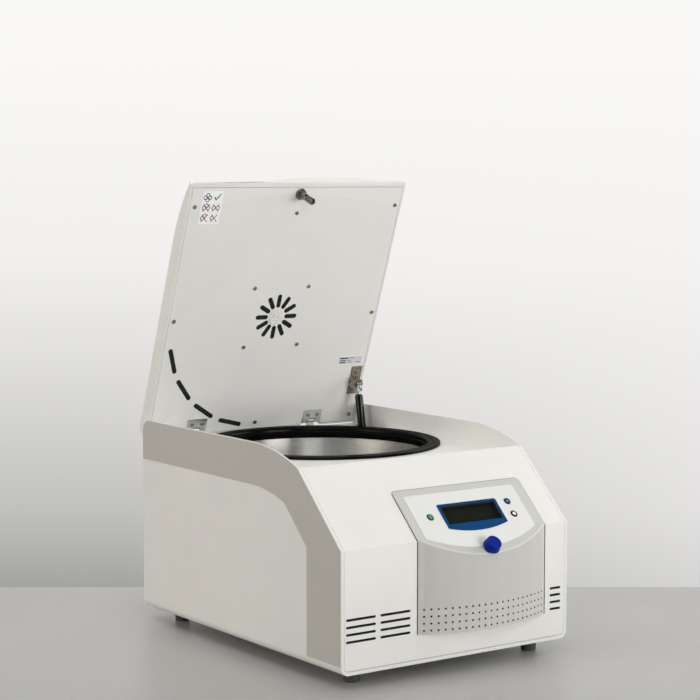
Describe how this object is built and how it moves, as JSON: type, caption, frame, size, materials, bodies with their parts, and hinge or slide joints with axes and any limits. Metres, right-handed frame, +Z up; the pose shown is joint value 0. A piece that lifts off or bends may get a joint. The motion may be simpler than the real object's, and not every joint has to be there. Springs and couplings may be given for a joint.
{
  "type": "laboratory centrifuge",
  "caption": "Table-top laboratory centrifuge with the lid open, sloping control panel, steel bowl and hanging-bucket rotor inside a painted wrap with raised sides.",
  "frame": {"origin": "centre of the bounding box at the bench plane, lid open", "axes": "+Z up, front towards -Y, right-hand side towards +X"},
  "size_m": [0.4568, 0.6737, 0.7828],
  "materials": {
    "white_paint": "fine satin texture",
    "white_plastic": "satin",
    "grey_film": "matte film",
    "panel_grey": "fine texture",
    "membrane_film": "satin film",
    "blue_film": "gloss",
    "lcd": "dark gloss",
    "circuit_board": "solder mask",
    "rubber": "matte",
    "dark_rubber": "matte",
    "stainless": "brushed",
    "zinc": "zinc plated",
    "steel": "turned",
    "dark_steel": "black powder coat",
    "aluminium": "anodised",
    "clear": "clear",
    "label": "printed film",
    "black_plastic": "fine texture",
    "blue_plastic": "satin",
    "green_plastic": "satin",
    "key_blue": "satin",
    "key_red": "satin",
    "black_paint": "gloss black"
  },
  "bodies": {
    "base": {"housing_shell": "white_paint", "side_stripes": "grey_film", "front_cover": "white_paint", "top_deck": "white_paint", "rear_panel": "white_paint", "chassis": "zinc", "feet": "dark_rubber", "foot_screws": "zinc", "control_panel": "panel_grey", "membrane": "membrane_film", "display_bezel": "blue_film", "lcd_display": "lcd", "control_board": "circuit_board", "encoder": "zinc", "bowl": "stainless", "bowl_gasket": "rubber", "guard_ring": "dark_steel", "motor": "dark_steel", "motor_dampers": "rubber", "latch_housing": "black_plastic", "strut_foot": "zinc", "hinge_base_leaves": "zinc", "hinge_pins": "steel", "fan_frame": "black_plastic", "power_inlet": "black_plastic", "switch_frame": "black_plastic", "drive_board": "circuit_board", "mains_filter": "zinc", "rear_screws": "zinc"},
    "lid": {"lid_cover": "white_plastic", "lid_panel": "white_paint", "lid_window": "clear", "lid_screws": "zinc", "striker": "steel", "striker_base": "zinc", "hinge_lid_leaves": "zinc", "hinge_lid_screws": "zinc", "strut_bracket": "zinc", "load_label": "label", "type_label": "label"},
    "strut_tube": {"strut_cylinder": "black_paint", "strut_top_eye": "zinc"},
    "strut_piston": {"strut_rod": "steel", "strut_rod_end": "zinc"},
    "rotor": {"motor_shaft": "steel", "rotor_cross": "aluminium", "rotor_pins": "steel", "rotor_nut": "black_plastic"},
    "bucket_1_body": {"bucket_1": "aluminium"},
    "bucket_2_body": {"bucket_2": "aluminium"},
    "bucket_3_body": {"bucket_3": "aluminium"},
    "bucket_4_body": {"bucket_4": "aluminium"},
    "knob_body": {"knob": "blue_plastic"},
    "start_key": {"start_button": "green_plastic"},
    "lid_key": {"lid_button": "key_blue"},
    "stop_key": {"stop_button": "key_red"},
    "bolt": {"latch_bolt": "steel"},
    "rocker": {"power_rocker": "black_plastic"},
    "fan_wheel": {"fan_blades": "black_plastic"}
  },
  "joints": [
    {"name": "lid_hinge", "type": "hinge", "parent": "base", "child": "lid", "pos_m": [0, 0.3136, 0.331], "axis": [1, 0, 0], "range_deg": [0, 69.9]},
    {"name": "strut_swing", "type": "hinge", "parent": "lid", "child": "strut_tube", "pos_m": [0.205, 0.27224, 0.39892], "axis": [1, 0, 0], "range_deg": [-63.32, 0]},
    {"name": "strut_slide", "type": "slide", "parent": "strut_tube", "child": "strut_piston", "axis": [0, 0.1771, 0.9842], "range_m": [0, 0.08778]},
    {"name": "rotor_spin", "type": "hinge", "parent": "base", "child": "rotor", "pos_m": [0, 0.0966, 0.25], "axis": [0, 0, 1], "continuous": true},
    {"name": "bucket_1_swing", "type": "hinge", "parent": "rotor", "child": "bucket_1_body", "pos_m": [0.088, 0.0966, 0.25], "axis": [0, -1, 0], "range_deg": [0, 90]},
    {"name": "bucket_2_swing", "type": "hinge", "parent": "rotor", "child": "bucket_2_body", "pos_m": [0, 0.1846, 0.25], "axis": [1, 0, 0], "range_deg": [0, 90]},
    {"name": "bucket_3_swing", "type": "hinge", "parent": "rotor", "child": "bucket_3_body", "pos_m": [-0.088, 0.0966, 0.25], "axis": [0, 1, 0], "range_deg": [0, 90]},
    {"name": "bucket_4_swing", "type": "hinge", "parent": "rotor", "child": "bucket_4_body", "pos_m": [0, 0.0086, 0.25], "axis": [-1, 0, 0], "range_deg": [0, 90]},
    {"name": "knob_turn", "type": "hinge", "parent": "base", "child": "knob_body", "pos_m": [0.045, -0.32131, 0.19992], "axis": [0, -0.6921, 0.7218], "continuous": true},
    {"name": "start_press", "type": "slide", "parent": "base", "child": "start_key", "axis": [0, 0.6921, -0.7218], "range_m": [0, 0.0008], "stiffness_N_per_m": 400},
    {"name": "lid_press", "type": "slide", "parent": "base", "child": "lid_key", "axis": [0, 0.6921, -0.7218], "range_m": [0, 0.0008], "stiffness_N_per_m": 400},
    {"name": "stop_press", "type": "slide", "parent": "base", "child": "stop_key", "axis": [0, 0.6921, -0.7218], "range_m": [0, 0.0008], "stiffness_N_per_m": 400},
    {"name": "latch_slide", "type": "slide", "parent": "base", "child": "bolt", "axis": [0, 1, 0], "range_m": [0, 0.0175]},
    {"name": "rocker_tilt", "type": "hinge", "parent": "base", "child": "rocker", "pos_m": [0.096, 0.3146, 0.062], "axis": [-1, 0, 0], "range_deg": [0, 16]},
    {"name": "fan_spin", "type": "hinge", "parent": "base", "child": "fan_wheel", "pos_m": [-0.11, 0.3006, 0.092], "axis": [0, 1, 0], "continuous": true}
  ],
  "couplings": [
    {"joint": "strut_swing", "follows": "lid_hinge", "ratio": -0.89873},
    {"joint": "strut_slide", "follows": "lid_hinge", "m_per_rad": 0.071538},
    {"joint": "bucket_2_swing", "follows": "bucket_1_swing", "ratio": 1},
    {"joint": "bucket_3_swing", "follows": "bucket_1_swing", "ratio": 1},
    {"joint": "bucket_4_swing", "follows": "bucket_1_swing", "ratio": 1}
  ]
}
